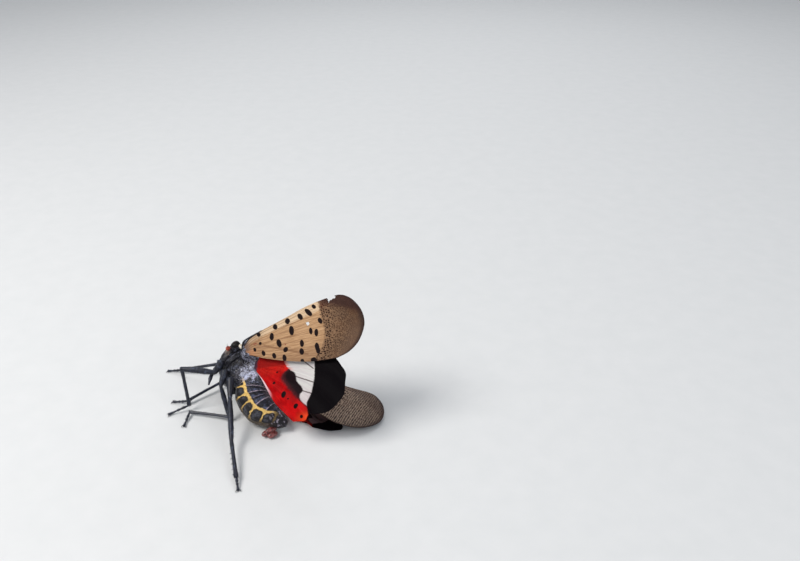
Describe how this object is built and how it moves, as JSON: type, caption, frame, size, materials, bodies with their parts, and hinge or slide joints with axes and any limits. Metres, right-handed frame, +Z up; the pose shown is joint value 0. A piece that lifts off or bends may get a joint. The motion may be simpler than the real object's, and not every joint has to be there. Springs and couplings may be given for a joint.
{
  "type": "spotted lanternfly, still display model",
  "caption": "Life-size still spotted lanternfly lying on its right side, left wings raised over the back, right wings flat on the floor.",
  "frame": {"origin": "middle of the model's bounding box on the floor", "axes": "+Z up from the floor, +X towards the wing tips, +Y away from the side that the left wings' undersides face"},
  "size_m": [0.0384, 0.0306, 0.0225],
  "materials": {
    "cuticle_black": "charcoal body shell with grey wax bloom",
    "eye": "dark glossy compound eye",
    "antenna": "brick-orange, grainy",
    "tegula": "cream plate",
    "abdomen": "black rings with blue-white wax and a yellow side line",
    "ovipositor": "reddish, slightly glossy",
    "forewing": "tan membrane with black spots and a brown netted tip",
    "hindwing": "red with black spots, a white band and a black end",
    "leg": "blue-black, fine wax bloom"
  },
  "bodies": {
    "root": {"head": "cuticle_black", "pronotum": "cuticle_black", "thorax": "cuticle_black", "eye_left": "eye", "antenna_left": "antenna", "eye_right": "eye", "antenna_right": "antenna", "tegula_left": "tegula", "tegula_right": "tegula", "rostrum": "leg", "abdomen": "abdomen", "ovipositor": "ovipositor", "forewing_left": "forewing", "hindwing_left": "hindwing", "forewing_right": "forewing", "hindwing_right": "hindwing", "femur_left_front": "leg", "tibia_left_front": "leg", "tarsus_left_front": "leg", "femur_left_middle": "leg", "tibia_left_middle": "leg", "tarsus_left_middle": "leg", "femur_left_hind": "leg", "tibia_left_hind": "leg", "tarsus_left_hind": "leg", "femur_right_front": "leg", "tibia_right_front": "leg", "tarsus_right_front": "leg", "femur_right_middle": "leg", "tibia_right_middle": "leg", "tarsus_right_middle": "leg", "femur_right_hind": "leg", "tibia_right_hind": "leg", "tarsus_right_hind": "leg"}
  },
  "joints": []
}
